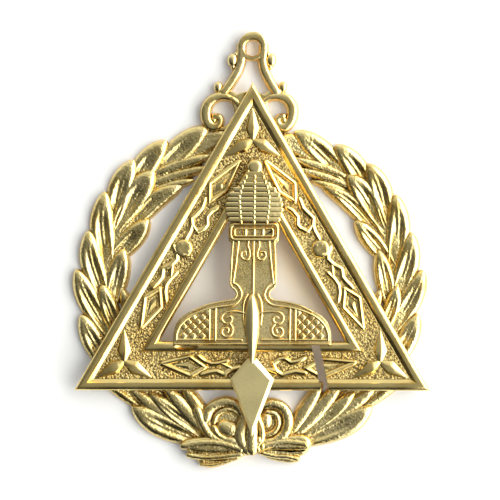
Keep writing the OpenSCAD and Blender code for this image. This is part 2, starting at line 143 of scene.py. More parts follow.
def flip(points):
    """Mirror image across the middle of the jewel."""
    return np.array(points, float) * np.array([-1.0, 1.0])


def tangents(line):
    """Unit direction of a line at each of its points."""
    d = np.gradient(line, axis=0)
    return d / np.maximum(np.linalg.norm(d, axis=1, keepdims=True), 1e-9)


def at_level(ring, level):
    """A flat ring of points at one height."""
    return np.column_stack([ring, np.full(len(ring), level)])


def loft(rings):
    """Closed shell through rings of equal length, capped at both ends."""
    rings = np.array(rings, float)
    count, size, _ = rings.shape
    faces = []
    for i in range(count - 1):
        a, b = i * size, (i + 1) * size
        for k in range(size):
            m = (k + 1) % size
            faces.append((a + k, a + m, b + m, b + k))
    faces.append(tuple(range(size - 1, -1, -1)))
    faces.append(tuple((count - 1) * size + k for k in range(size)))
    return rings.reshape(-1, 3), faces


def looped(rings):
    """Closed shell through rings that follow each other in a circle."""
    rings = np.array(rings, float)
    count, size, _ = rings.shape
    faces = []
    for i in range(count):
        a, b = i * size, (i + 1) % count * size
        for k in range(size):
            m = (k + 1) % size
            faces.append((a + k, a + m, b + m, b + k))
    return rings.reshape(-1, 3), faces


def plate(outline, low, high, edge=0.25, steps=2):
    """Flat plate from a closed outline, with a rounded upper edge."""
    p = np.array(outline, float)
    area = np.sum(p[:, 0] * np.roll(p[:, 1], -1) - np.roll(p[:, 0], -1) * p[:, 1])
    if area < 0:
        p = p[::-1]
    d = np.roll(p, -1, axis=0) - np.roll(p, 1, axis=0)
    d /= np.maximum(np.linalg.norm(d, axis=1, keepdims=True), 1e-9)
    inward = np.stack([-d[:, 1], d[:, 0]], axis=1)
    levels = [(0, low), (0, high - edge)]
    for k in range(1, steps + 1):
        a = math.pi / 2 * k / steps
        levels.append((edge * (1 - math.cos(a)), high - edge + edge * math.sin(a)))
    return loft([at_level(p + inward * inset, z) for inset, z in levels])


# Angles at which the rounded ends of a ridge are cut, in degrees
END_CUTS = (30, 58, 80)


def ridge(line, width, height, z=0.0, root=0.4, sides=8, flat=1.0, splay=0.0):
    """Half-round bar along a line. flat below 1 squares its top, and it runs root below z.

    splay widens its foot on each side, as the draft of a casting does.
    """
    line = np.array(line, float)
    n = len(line)
    half = np.broadcast_to(np.array(width, float) / 2, (n,)).copy()
    rise = np.broadcast_to(np.array(height, float), (n,)).copy()
    base = np.broadcast_to(np.array(z, float), (n,)).copy()
    way = tangents(line)
    rows = [(line[i], way[i], half[i], rise[i], base[i], 1.0) for i in range(n)]
    tip = [math.radians(a) for a in END_CUTS]
    first = [(line[0] - way[0] * half[0] * math.sin(a), way[0], half[0], rise[0], base[0],
              math.cos(a)) for a in reversed(tip)]
    last = [(line[-1] + way[-1] * half[-1] * math.sin(a), way[-1], half[-1], rise[-1], base[-1],
             math.cos(a)) for a in tip]
    rows = first + rows + last
    phi = np.linspace(0, math.pi, sides + 1)
    across, up = np.cos(phi), np.sin(phi) ** flat
    across = np.sign(across) * np.abs(across) ** flat
    rings = []
    for point, t, h, r, b, shrink in rows:
        side = np.array([-t[1], t[0]])
        xy = point + np.outer(across * h * shrink, side)
        top = np.column_stack([xy, b + up * r * shrink ** 0.5])
        reach = side * (h * shrink + splay)
        foot = np.array([[*(point - reach), b - root], [*(point + reach), b - root]])
        rings.append(np.vstack([top, foot]))
    return loft(rings)


# Angles at which the round of a dome is cut, in degrees
DOME_CUTS = (18, 36, 54, 70, 84)


def dome(centre, radius, height, z=0.0, root=0.4, stretch=(1.0, 1.0), turn=0.0, sides=24, flat=1.0):
    """Round or oval boss. flat below 1 squares its sides, and it runs root below z."""
    foot = oval((0, 0), radius * stretch[0], radius * stretch[1], sides)
    levels = [(1, z - root), (1, z)]
    for cut in DOME_CUTS:
        share, rise = heading(cut)
        levels.append((share ** flat, z + height * rise))
    return loft([at_level(np.array(centre) + turned(foot * share, turn), level)
                 for share, level in levels])


def mirrored(shell):
    """The same shell on the other side of the jewel."""
    points, faces = shell
    return points * np.array([-1.0, 1.0, 1.0]), faces


def sheared(shell, lean, level):
    """The same shell leant sideways, with its points at one level along Y kept in place."""
    points, faces = shell
    moved = np.array(points, float)
    moved[:, 0] += lean * (moved[:, 1] - level)
    return moved, faces


def both(shells):
    """Shells together with their mirror images."""
    return list(shells) + [mirrored(s) for s in shells]


def shell_object(name, shell):
    """Mesh object of one closed shell, with its faces turned outward."""
    points, faces = shell
    mesh = bpy.data.meshes.new(name)
    mesh.from_pydata([tuple(p * MM) for p in points], [], faces)
    bm = bmesh.new()
    bm.from_mesh(mesh)
    bmesh.ops.recalc_face_normals(bm, faces=bm.faces)
    bm.to_mesh(mesh)
    bm.free()
    return bpy.data.objects.new(name, mesh)


def boolean(base, shells, operation="UNION"):
    """Runs one boolean of a base object with a list of shells, and frees the helpers."""
    if not shells:
        return
    group = bpy.data.collections.new("helpers")
    bpy.context.scene.collection.children.link(group)
    helpers = [shell_object(f"helper{i}", s) for i, s in enumerate(shells)]
    for helper in helpers:
        group.objects.link(helper)
    modifier = base.modifiers.new("fuse", "BOOLEAN")
    modifier.solver = "MANIFOLD"
    modifier.operation = operation
    modifier.operand_type = "COLLECTION"
    modifier.collection = group
    graph = bpy.context.evaluated_depsgraph_get()
    made = bpy.data.meshes.new_from_object(base.evaluated_get(graph))
    base.modifiers.clear()
    old = base.data
    base.data = made
    bpy.data.meshes.remove(old)
    for helper in helpers:
        mesh = helper.data
        bpy.data.objects.remove(helper)
        bpy.data.meshes.remove(mesh)
    bpy.data.collections.remove(group)


def fused(name, shells, node, material, cuts=(), sharp=32):
    """One solid piece from overlapping shells, less its cuts, which stands for a CAD node.

    Edges that turn by more than sharp degrees stay crisp.
    """
    piece = shell_object(name, shells[0])
    bpy.context.scene.collection.objects.link(piece)
    boolean(piece, shells[1:])
    boolean(piece, list(cuts), "DIFFERENCE")
    mesh = piece.data
    mesh.materials.clear()
    mesh.materials.append(material)
    mesh.shade_smooth()
    mesh.set_sharp_from_angle(angle=math.radians(sharp))
    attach(piece, "root")
    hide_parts(node)
    return piece


# Materials

def new_material(name):
    """Empty node material with one shader that goes to the surface."""
    material = bpy.data.materials.new(name)
    material.use_nodes = True
    tree = material.node_tree
    tree.nodes.clear()
    out = tree.nodes.new("ShaderNodeOutputMaterial")
    shader = tree.nodes.new("ShaderNodeBsdfPrincipled")
    tree.links.new(shader.outputs["BSDF"], out.inputs["Surface"])
    return material, tree, shader


def add_node(tree, kind, inputs=None, **settings):
    """Adds a node, sets its properties, and sets or links its inputs."""
    made = tree.nodes.new(kind)
    for key, value in settings.items():
        setattr(made, key, value)
    for key, value in (inputs or {}).items():
        if isinstance(value, bpy.types.NodeSocket):
            tree.links.new(value, made.inputs[key])
        else:
            made.inputs[key].default_value = value
    return made


def span(tree, value, start, end, low, high, **settings):
    """Takes a value from one range to another, and holds it there."""
    return add_node(tree, "ShaderNodeMapRange",
                    {"Value": value, "From Min": start, "From Max": end, "To Min": low, "To Max": high},
                    **settings).outputs["Result"]


def maths(tree, operation, a, b):
    """Result of one sum, product or comparison."""
    return add_node(tree, "ShaderNodeMath", {0: a, 1: b}, operation=operation).outputs[0]


def blend(tree, factor, a, b):
    """Mix of two colours, in the Mix node's sockets 6 and 7."""
    return add_node(tree, "ShaderNodeMix", {0: factor, 6: a, 7: b}, data_type="RGBA").outputs[2]


def ramp(tree, value, stops):
    """Colours along a value. Each stop is its place and its colour."""
    node = add_node(tree, "ShaderNodeValToRGB", {"Fac": value})
    elements = node.color_ramp.elements
    for element, (place, colour) in zip(elements, (stops[0], stops[-1])):
        element.position = place
        element.color = colour
    for place, colour in stops[1:-1]:
        elements.new(place).color = colour
    return node.outputs["Color"]


GILT = (0.92, 0.75, 0.32, 1)
GILT_PALE = (0.94, 0.79, 0.395, 1)
GILT_DEEP = (0.80, 0.56, 0.17, 1)
GILT_MID = (0.86, 0.67, 0.265, 1)
GILT_BRIGHT = (0.99, 0.85, 0.41, 1)
# Painted orange reflection of gold on gold, laid on steep sides
GILT_PAINTED_BOUNCE = (0.98, 0.58, 0.13, 1)
# Dark of the grain's specks, and of the painted shade in the hollows
SPECKS_AND_PAINTED_SHADE = (0.13, 0.085, 0.035, 1)


def gilt(name, rough=(0.14, 0.26), grain=0.0, grain_in="all", grain_top=0.0, grain_size=0.4,
         specks=0.6, hollow_shade=0.75, wavy=0.07, wall_bounce=0.8, tones=(GILT_DEEP, GILT, GILT_PALE)):
    """Gilded brass: polished or satin, with painted shade in the recesses, a painted orange reflection
    on the steep sides and fine casting grain.

    rough is the range of the roughness, wavy the depth of the waves, and tones the colours from
    deep to pale. grain is the depth of the stipple and grain_size the size of its dots. It lies
    all over, below the level grain_top, or in the hollows. specks is how dark it is, hollow_shade
    how dark the painted shade in the hollows is, and wall_bounce how deep the painted orange
    reflection on the steep sides is. Lengths are in millimetres.
    """
    material, tree, shader = new_material(name)
    place = add_node(tree, "ShaderNodeTexCoord").outputs["Object"]
    patch, wave, ripple, reach = 6.0, 1.6, 0.5, 1.1

    def noise(size, detail=2.0):
        return add_node(tree, "ShaderNodeTexNoise",
                        {"Vector": place, "Scale": 1 / (size * MM), "Detail": detail,
                         "Roughness": 0.6}).outputs["Fac"]

    def bump(height, depth, **under):
        return add_node(tree, "ShaderNodeBump",
                        {"Height": height, "Strength": 1.0, "Distance": depth * MM,
                         **under}).outputs["Normal"]

    broad = noise(patch, 4.0)
    colour = ramp(tree, broad, list(zip((0.3, 0.48, 0.72), tones)))
    free = add_node(tree, "ShaderNodeAmbientOcclusion", {"Distance": reach * MM}, samples=6)
    true_normal = add_node(tree, "ShaderNodeNewGeometry").outputs["True Normal"]
    upward = add_node(tree, "ShaderNodeSeparateXYZ", {"Vector": true_normal}).outputs["Z"]
    # Painted reflection: steep sides turn orange, as if lit by the gold around them
    colour = blend(tree, span(tree, upward, 0.2, 0.6, wall_bounce, 0.0), colour, GILT_PAINTED_BOUNCE)
    # Painted shade: faces that look up darken where the hollows close in on them
    deep = span(tree, free.outputs["AO"], 0.2, 0.75, 1.0, 0.0)
    level = span(tree, upward, 0.1, 0.5, 0.0, hollow_shade)
    colour = blend(tree, maths(tree, "MULTIPLY", deep, level), colour, SPECKS_AND_PAINTED_SHADE)
    normal = bump(noise(wave), wavy)
    normal = bump(noise(ripple, 3.0), wavy * 0.4, Normal=normal)
    roughness = span(tree, broad, 0.3, 0.7, *rough)
    if grain:
        if grain_in == "below":
            height = add_node(tree, "ShaderNodeSeparateXYZ", {"Vector": place}).outputs["Z"]
            where = span(tree, height, (grain_top - 0.06) * MM, grain_top * MM, 1.0, 0.0)
        elif grain_in == "hollows":
            where = span(tree, free.outputs["AO"], 0.45, 0.9, 1.0, 0.12)
        else:
            where = add_node(tree, "ShaderNodeValue").outputs[0]
            where.default_value = 1.0
        dots = add_node(tree, "ShaderNodeTexVoronoi",
                        {"Vector": place, "Scale": 1 / (grain_size * MM), "Randomness": 1.0},
                        feature="SMOOTH_F1")
        stipple = maths(tree, "ADD", dots.outputs["Distance"], noise(grain_size * 0.7))
        dark = maths(tree, "MULTIPLY", span(tree, stipple, 0.75, 1.1, 0.0, specks), where)
        colour = blend(tree, dark, colour, SPECKS_AND_PAINTED_SHADE)
        normal = bump(maths(tree, "MULTIPLY", stipple, where), grain, Normal=normal)
        roughness = maths(tree, "ADD", roughness, maths(tree, "MULTIPLY", where, 0.04))
    tree.links.new(colour, shader.inputs["Base Color"])
    shader.inputs["Metallic"].default_value = 1.0
    tree.links.new(roughness, shader.inputs["Roughness"])
    tree.links.new(normal, shader.inputs["Normal"])
    return material


# Triangle

ARM_W = 10.1
# Height of the sunk field, as a share of the thickness
FIELD_RISE = 0.65
RING_PROFILE = [
    # inset from the outer edge as a share of the arm, height as a share of the thickness
    (0.0, 0.0), (0.0, 0.74), (0.012, 0.83), (0.03, 0.915), (0.058, 0.98), (0.09, 1.0),
    (0.125, 1.0), (0.154, 0.975), (0.168, 0.89), (0.245, FIELD_RISE), (0.79, FIELD_RISE),
    (0.80, 0.73), (0.82, 0.87), (0.847, 0.955), (0.872, 0.99), (0.885, 1.0), (0.948, 1.0),
    (0.968, 0.95), (0.99, 0.83), (1.007, 0.72), (1.015, 0.0),
]
FIELD_Z = BACK_Z + FIELD_RISE * TRI_T
# Distance of the field's middle line from the middle of the triangle
FIELD_MID = TRI_IN - 0.531 * ARM_W
# The stars stand a little inside the corners of that line
STAR_R = 2 * FIELD_MID * 0.96


def triangle_ring(steps=14):
    """The three arms as one mitred sweep of their section, with steps along each arm."""
    mitres = []
    for corner in (*TRI_CORNERS, TRI_CORNERS[0]):
        way = heading(corner)
        mitres.append(np.array([[*(CENTRE + way * 2 * (TRI_IN - inset * ARM_W)),
                                 BACK_Z + rise * TRI_T] for inset, rise in RING_PROFILE]))
    return looped([a + (b - a) * k / steps for a, b in zip(mitres, mitres[1:]) for k in range(steps)])


# Where the chamfers of a blade start, as shares of its half width, on its left and its right
BLADE_BROWS = {90: (0.62, 0.4), 210: (0.58, 0.66), 330: (0.4, 0.58)}


def star_blade(corner, way, length=7.2, width=3.1, height=0.72):
    """One blade of a corner star: a long diamond with a low ridge and chamfered sides."""
    widest = 0.36
    brow_rise = 0.86
    overlap = 0.25
    sunk, foot = FIELD_Z - 0.4, FIELD_Z + 0.03
    left, right = BLADE_BROWS[way]
    along = heading(way)
    side = np.array([-along[1], along[0]])
    start = CENTRE + STAR_R * heading(corner) - along * overlap
    rings = []
    for s in np.linspace(0, 1, 15):
        if s < widest:
            grow = 0.22 + 0.78 * (s / widest) ** 0.9
        else:
            grow = ((1 - s) / (1 - widest)) ** 0.8
        half = max(0.03, width / 2 * grow)
        rise = height * max(0.1, min(1.0, grow * 1.15))
        top, brow = FIELD_Z + rise, FIELD_Z + brow_rise * rise
        p = start + along * length * s
        rings.append([[*(p - side * half), sunk], [*(p - side * half), foot],
                      [*(p - side * right * half), brow], [*p, top], [*(p + side * left * half), brow],
                      [*(p + side * half), foot], [*(p + side * half), sunk]])
    return loft(rings)


# Straps of an arm, in millimetres. Points are (along the arm from its middle, outward from the
# middle of the field). Columns: width, points
STRAPS = [
    (1.5, [(-2.1, 1.1), (-3.8, 1.1), (-5.1, 1.4), (-6.3, 2.2), (-7.5, 1.8), (-9.15, 1.4),
           (-10.9, 1.7)]),
    (1.4, [(-4.4, -0.3), (-5.8, -1.2), (-6.7, -1.35), (-8.15, -0.5), (-9.8, -0.8), (-10.8, -1.4)]),
    (1.1, [(-5.1, 1.3), (-4.4, -0.3)]),
    (1.3, [(-21.4, -0.4), (-14.5, 2.5), (-11.3, 0.75)]),
    (1.2, [(-21.4, -0.6), (-14.6, -1.2), (-11.3, 0.6)]),
    (1.5, [(0.9, 2.2), (1.7, 1.1), (2.7, 0.6), (4.35, 1.0), (5.9, 2.05), (7.5, 1.4), (8.8, 1.6),
           (10.2, 2.0)]),
    (1.4, [(5.3, -0.8), (7.0, -0.3), (8.5, -0.2), (9.9, -0.75), (11.2, -1.75)]),
    (1.1, [(4.5, 0.6), (6.3, -0.2)]),
    (1.3, [(9.9, 0.6), (13.0, 2.3), (18.7, -0.1)]),
    (1.2, [(9.9, 0.5), (13.1, -1.7), (18.7, -0.3)]),
]
STRAP_H = 0.52
# Feet of the facets within the kites, as points of the arm
KITE_CORES = [[(-19.2, -0.3), (-14.7, 1.5), (-12.6, 0.5), (-14.6, -0.4)],
              [(11.2, 0.5), (13.0, 1.3), (16.9, 0.0), (13.2, -0.8)]]
BOSS_AT = (0.1, 0.4)
# Columns: radius, level over the field
BOSS = [(2.15, -0.3), (2.15, 0.03), (1.8, 0.5), (1.6, 0.6), (0.8, 0.62)]
# Low bumps on the face of a boss. Columns: across, up, radius
BOSS_BUMPS = [(-0.7, 0.5, 0.5), (0.55, 0.8, 0.42), (0.9, -0.45, 0.5), (-0.1, -0.9, 0.42),
              (-1.05, -0.45, 0.36)]
# Columns: turn of the arm in degrees, and -1 where its pattern is mirrored
ARMS = [(-60, 1), (60, -1), (180, 1)]


def arm_ornament(turn, mirror):
    """Boss, straps and faceted kites of one arm."""
    def at(points):
        local = np.array(points, float) * np.array([mirror, 1.0]) + np.array([0, FIELD_MID])
        return CENTRE + turned(local, turn)

    shells = [ridge(straight(at(points), 0.5), width, STRAP_H, FIELD_Z - 0.02, flat=1.5)
              for width, points in STRAPS]
    for points in KITE_CORES:
        ring = at(points)
        peak = ring.mean(axis=0)
        shells.append(loft([at_level(ring, FIELD_Z - 0.3), at_level(ring, FIELD_Z),
                            at_level(peak + 0.12 * (ring - peak), FIELD_Z + 0.42)]))
    middle = at([BOSS_AT])[0]
    shells.append(loft([at_level(oval(middle, radius, radius, 8, 22.5 + turn), FIELD_Z + level)
                        for radius, level in BOSS]))
    for x, y, radius in BOSS_BUMPS:
        spot = middle + turned([(x, y)], turn)[0]
        shells.append(dome(spot, radius, 0.09, FIELD_Z + 0.56, sides=8))
    return shells


# The slot through the base arm, in millimetres and degrees
SLOT_X = 14.2
SLOT_W = 1.7
SLOT_LEAN = 12
# The small oval hollow in the inner rim
PIT_AT = (-13.7, FOOT - 0.4)
PIT_R = (2.5, 0.68)
# Columns: share of the oval, level over the rim
PIT_BOWL = [(1.0, 1.0), (1.0, 0.0), (0.88, -0.22), (0.66, -0.42), (0.38, -0.54), (0.1, -0.58)]


def triangle_cuts():
    """What is cut from the triangle: the slot and the small hollow."""
    middle = np.array([SLOT_X, TRI_LOW[1] + ARM_W / 2])
    along, side = ARM_W * heading(SLOT_LEAN + 90), SLOT_W / 2 * heading(SLOT_LEAN)
    box = [middle + along * u + side * v for u, v in ((-1, -1), (-1, 1), (1, 1), (1, -1))]
    pit = oval((0, 0), *PIT_R)
    return [plate(box, BACK_Z - 1, RIM_Z + 1, edge=0.01, steps=1),
            loft([at_level(np.array(PIT_AT) + share * pit, RIM_Z + level)
                  for share, level in PIT_BOWL])]


def triangle_piece():
    """Pierced triangle: rims round a grained field with stars, bosses, straps and kites."""
    shells = [triangle_ring()]
    shells += [star_blade(corner, way) for corner in TRI_CORNERS for way in TRI_CORNERS]
    for turn, mirror in ARMS:
        shells += arm_ornament(turn, mirror)
    material = gilt("gilt_grained", rough=(0.16, 0.27), grain=0.37, grain_in="below",
                    grain_top=FIELD_Z + 0.08, specks=0.8, hollow_shade=0.65, wavy=0.03, wall_bounce=0.4,
                    tones=(GILT_DEEP, GILT_MID, GILT))
    return fused("triangle_frame", shells, "triangle", material,
                 cuts=triangle_cuts(), sharp=28)


# Temple front. Points are (distance from the middle, height above the foot)

PLATE_T = 0.9
PLATE_Z = RIM_Z + PLATE_T
# From the end of a wing to the notch under the shaft
WING_SIDE = [(16.5, 0), (16.5, 1.6), (16.3, 3.2), (15.65, 4.9), (14.2, 6.35), (12.1, 7.45),
             (10, 8.45), (7.2, 9.1), (4.9, 9.45), (3.95, 9.95), (3.6, 10.8), (3.9, 11.6), (4.7, 12.3)]
SHAFT_SIDE = [(4.95, 13.2), (4.75, 17), (4.7, 21.3)]
BAND_SIDE = [(5.0, 21.5), (5.25, 21.9), (5.25, 25.1), (5.0, 25.5)]
DOME_SIDE = [(4.9, 25.7), (5.5, 26.8), (5.8, 28.4), (5.75, 29.4), (5.4, 30.7), (4.75, 32.0),
             (3.1, 33.5), (1.95, 34.8), (1.5, 36.0), (1.45, 37.2)]
FINIAL = (0.0, 37.15)
FINIAL_R = 1.5
# The front leans to the right by this share of its height
TEMPLE_LEAN = 0.014


def temple(points):
    """Points of the temple front in the row frame."""
    return np.array(points, float) + np.array([0.0, FOOT])


def temple_outline(merge=0.05):
    """Closed outline of the plate, with points nearer than merge taken as one."""
    half = np.vstack([
        straight([(0.0, 0.0), WING_SIDE[0]], 1.0), smooth_line(WING_SIDE, 0.35),
        smooth_line(SHAFT_SIDE, 0.6), straight(BAND_SIDE, 0.5), smooth_line(DOME_SIDE, 0.35),
        arc(FINIAL, FINIAL_R, 20, 90, 0.3),
    ])
    keep = [half[0]]
    for p in half[1:]:
        if np.linalg.norm(p - keep[-1]) > merge:
            keep.append(p)
    half = np.array(keep)
    return temple(np.vstack([half, flip(half[1:-1])[::-1]]))


BORDER = [(4.2, 13.0), (3.2, 12.4), (2.5, 11.2), (2.5, 10.0), (3.2, 9.0), (4.4, 8.35), (7.4, 7.95),
          (9.9, 7.35), (12.5, 6.3), (14.1, 5.2), (15.2, 3.9), (15.75, 2.5), (15.85, 1.2)]
CURL = [(1.1, 21.7), (1.2, 20.8), (0.85, 19.6), (0.8, 18.6), (1.3, 17.85), (2.1, 18.0), (2.6, 18.8),
        (2.25, 19.5), (1.65, 19.45)]
UPPER_S = [(1.7, 6.7), (3.0, 7.0), (5.0, 7.0), (6.1, 6.5), (6.45, 5.6), (5.9, 4.7), (4.85, 4.6),
           (4.3, 5.3), (4.55, 6.0), (5.3, 5.8)]
LOWER_S = [(4.75, 4.6), (4.1, 3.5), (4.4, 2.25), (5.5, 1.8), (6.3, 2.4), (6.3, 3.2), (5.7, 3.65),
           (4.95, 3.4), (5.15, 2.8)]

# Width and height of the raised lines
LINE_W = 0.68
LINE_H = 0.44


def temple_lines():
    """Raised lines of the shaft, the notch and one wing."""
    lines = [
        # line, width, height
        (smooth_line(BORDER), 0.7, LINE_H), (smooth_line(CURL), 0.62, LINE_H),
        (smooth_line([(3.2, 21.7), (3.6, 17.7), (4.2, 13.0)], 0.5), LINE_W, LINE_H),
        (smooth_line([(4.3, 21.7), (4.55, 18), (4.7, 12.8)], 0.5), 0.5, 0.34),
        (straight([(7.75, 1.2), (7.75, 7.8)]), 0.75, LINE_H),
        (straight([(8.95, 1.2), (8.95, 7.5)]), 0.6, LINE_H),
        (straight([(2.2, 1.15), (15.8, 1.15)]), LINE_W, 0.4),
        (straight([(0, 0.3), (16.1, 0.3)]), 0.55, 0.35),
        (smooth_line([(1.75, 4.4), (1.95, 6.8), (1.8, 9.0), (1.1, 10.6)]), 0.55, 0.4),
        (smooth_line(UPPER_S, 0.25), 0.66, LINE_H), (smooth_line(LOWER_S, 0.25), 0.66, LINE_H),
    ]
    shells = [ridge(temple(line), width, height, PLATE_Z) for line, width, height in lines]
    shells.append(dome(temple([(1.6, 18.95)])[0], 0.35, 0.25, PLATE_Z, sides=10))
    wing_end = 22
    edge = np.vstack([smooth_line(WING_SIDE, 0.4)[wing_end:], smooth_line(SHAFT_SIDE, 0.5)])
    shells.append(ridge(temple(edge - np.array([0.28, 0.12])), 0.45, 0.25, PLATE_Z))
    return shells


def lattice():
    """Staggered rows of diamond studs at the end of one wing, a gap within its border."""
    inner, low, gap = 9.45, 1.95, 0.75
    pitch_x, pitch_y = 1.93, 0.965
    rows, columns = 6, 4
    border = smooth_line(BORDER, 0.2)[::-1]
    shells = []
    for k in range(rows):
        y = low + k * pitch_y
        reach = np.interp(y, border[:, 1], border[:, 0]) - gap
        for x in inner + pitch_x * (np.arange(columns) + 0.5 * ((k + 1) % 2)):
            if x < reach:
                shells.append(dome(temple([(x, y)])[0], 0.9, 0.4, PLATE_Z, sides=4, flat=0.7))
    return shells


def rounded(half_w, half_h, radius, centre):
    """Closed rectangle with rounded corners."""
    quarters = [
        arc((x * (half_w - radius) + centre[0], y * (half_h - radius) + centre[1]), radius, start,
            start + 90, 0.15)
        for x, y, start in ((1, 1, 0), (-1, 1, 90), (-1, -1, 180), (1, -1, 270))
    ]
    line = np.vstack(quarters)
    return np.vstack([line, line[:1]])


def temple_band():
    """The two frames of the band and the three bars between its panels."""
    shells = [ridge(temple(rounded(4.85, 1.6, 0.95, (0, 23.6))), 0.9, 0.5, PLATE_Z),
              ridge(temple(rounded(4.0, 0.8, 0.45, (0, 23.55))), 0.6, 0.5, PLATE_Z)]
    for x in (-1.8, 0.0, 1.8):
        shells.append(ridge(temple(straight([(x, 22.9), (x, 24.2)])), 1.0, 0.42, PLATE_Z))
    return shells


# Courses of the dome: height of the lowest, pitch, number, and how many stand out in full
COURSE_LOW = 26.2
COURSE_PITCH = 1.05
COURSES = 10
FULL_COURSES = 8
# Edge of the cup under the disc, right half
CUP_RIM = [(1.3, 36.4), (1.65, 34.95), (2.85, 33.5), (4.6, 31.9)]


def dome_half_width(y):
    """Half width of the dome at a height above the foot."""
    side = smooth_line(DOME_SIDE, 0.2)
    return float(np.interp(y, side[:, 1], side[:, 0]))


def dome_crown(x, half=5.8):
    """How far the dome stands over the plate, highest in the middle of its width."""
    return 0.25 + 0.45 * (1 - (x / half) ** 2)


def temple_dome():
    """Courses of the dome as stacked rods, with beaded upright joints, cup edges and disc."""
    shells = []
    for k in range(COURSES):
        y = COURSE_LOW + k * COURSE_PITCH
        rise = 0.22 if k < FULL_COURSES else 0.05
        reach = dome_half_width(y) - 0.25
        line = straight([(-reach, y), (reach, y)], 0.6)
        shells.append(ridge(temple(line), 1.04, rise, PLATE_Z + dome_crown(line[:, 0]), root=1.2,
                            flat=0.8))
    spread = FULL_COURSES * COURSE_PITCH + 1.6
    for lean in (0.0, 1.0, -1.0):
        for k in range(COURSES):
            y = COURSE_LOW + (k - 0.5) * COURSE_PITCH
            share = (y - COURSE_LOW) / spread
            belly = 0.35 * math.sin(math.pi * share)
            x = lean * (2.75 + belly - 1.9 * max(0, share - 0.45) ** 1.3 * 1.6)
            shells.append(dome(temple([(x, y)])[0], 0.4, 0.33, PLATE_Z + dome_crown(x) + 0.02,
                               root=0.6, stretch=(0.85, 1.3), sides=8))
    for side in (1, -1):
        rim = smooth_line([(side * x, y) for x, y in CUP_RIM], 0.3)
        shells.append(ridge(temple(rim), 0.6, 0.55, PLATE_Z, root=0.6))
    shells.append(dome(temple([FINIAL])[0], FINIAL_R + 0.1, 0.75, PLATE_Z, flat=0.45))
    return shells


def temple_piece():
    """Die-struck plate with its raised lines, studs, band and dome."""
    shells = [plate(temple_outline(), RIM_Z, PLATE_Z, edge=0.22)]
    shells += both(temple_lines() + lattice())
    shells.append(ridge(temple(straight([(0, 10.2), (0, 21.7)])), 0.66, LINE_H, PLATE_Z))
    shells += temple_band() + temple_dome()
    shells = [sheared(s, TEMPLE_LEAN, FOOT) for s in shells]
    material = gilt("gilt_struck", rough=(0.2, 0.3), grain=0.045, grain_in="below",
                    grain_top=PLATE_Z + 0.1, grain_size=0.22, specks=0.45, hollow_shade=0.75, wavy=0.04)
    return fused("temple_plate", shells, "temple_front", material)


# Trowel. The blade's length, the height of its shoulders as a share of it, and its thickness at
# the edge and in the middle

BLADE_L = 16.2
SHOULDER = 0.73
EDGE_T = 0.5
BLADE_T = 1.1
HANDLE = [
    # distance down from the handle's top, half width, rise over the temple's face
    (0.0, 0.15, 0.35), (0.15, 0.4, 0.6), (0.6, 0.7, 0.95), (1.3, 0.95, 1.2), (2.4, 1.25, 1.4),
    (3.8, 1.5, 1.5), (5.8, 1.62, 1.5), (8.2, 1.42, 1.35), (10.0, 1.12, 1.15), (11.6, 0.85, 0.95),
    (13.0, 0.65, 0.75),
]
HANDLE_SECTION = [
    # across and up, as shares of the half width and the rise
    (-1, 0), (-0.97, 0.3), (-0.8, 0.62), (-0.45, 0.86), (-0.05, 1.0), (0.12, 1.0), (0.5, 0.8),
    (0.8, 0.52), (0.97, 0.25), (1, 0),
]


def trowel_piece():
    """Kite-shaped blade with bevelled edges, a round neck and a handle that swells."""
    tip, half_w = TROWEL_LOW[1], TROWEL_HIGH[0]
    shoulder, neck_y = tip + SHOULDER * BLADE_L, tip + BLADE_L
    outer = [(0.95, neck_y), (half_w, shoulder), (0, tip), (-half_w, shoulder), (-0.95, neck_y)]
    inner = [(0.35, neck_y - 0.9), (half_w - 0.9, shoulder - 0.15), (0, tip + 1.6),
             (-half_w + 0.5, shoulder - 0.12), (-0.35, neck_y - 0.9)]
    blade = loft([at_level(outer, RIM_Z), at_level(outer, RIM_Z + EDGE_T),
                  at_level(inner, RIM_Z + BLADE_T)])
    neck = ridge(straight([(0, neck_y - 0.6), (0, FOOT + 1.0)]), 1.3, 0.9, RIM_Z + 0.35, root=0.35)
    rings = []
    for down, half, rise in HANDLE:
        y = TROWEL_HIGH[1] - down
        under = RIM_Z + 0.3 if y < FOOT - 0.05 else PLATE_Z - 0.2
        ring = [[x * half, y, PLATE_Z + h * rise] for x, h in HANDLE_SECTION]
        rings.append(ring + [[half, y, under], [-half, y, under]])
    material = gilt("gilt_satin", rough=(0.3, 0.36), grain=0.008, grain_size=0.16, specks=0.12,
                    hollow_shade=0.4, wavy=0.0, tones=(GILT_BRIGHT, GILT_BRIGHT, GILT_BRIGHT))
    return fused("trowel_casting", [blade, neck, loft(rings)], "trowel", material,
                 sharp=24)


# Hanger. Points are from the middle of the hole

# The hanger leans to the left about its hole by this share of its height
HANGER_LEAN = 0.05
# Level of its back, its thickness, the level where its rods start to round, and their rise
HANGER_BASE = 0.4
HANGER_T = HANGER_HIGH[2] - HANGER_BASE
HANGER_MID = HANGER_BASE + 0.45 * HANGER_T
HANGER_ROOT = HANGER_MID - HANGER_BASE
HANGER_TOP = HANGER_T * 0.55
BORE_R = 1.62
ARM = [(2.35, 0.6), (2.3, -1.0), (2.25, -2.65), (2.65, -4.35), (3.45, -6.05), (4.35, -7.6),
       (5.1, -8.7), (5.5, -9.3)]
VOLUTE = [(1.2, -12.9), (2.5, -11.6), (3.7, -10.7), (5.1, -10.2), (6.6, -10.2), (8.0, -10.9),
          (8.95, -12.3), (9.1, -13.9), (8.7, -15.5), (7.7, -16.5), (6.6, -16.4), (6.0, -15.4),
          (6.3, -14.6), (7.2, -14.3)]
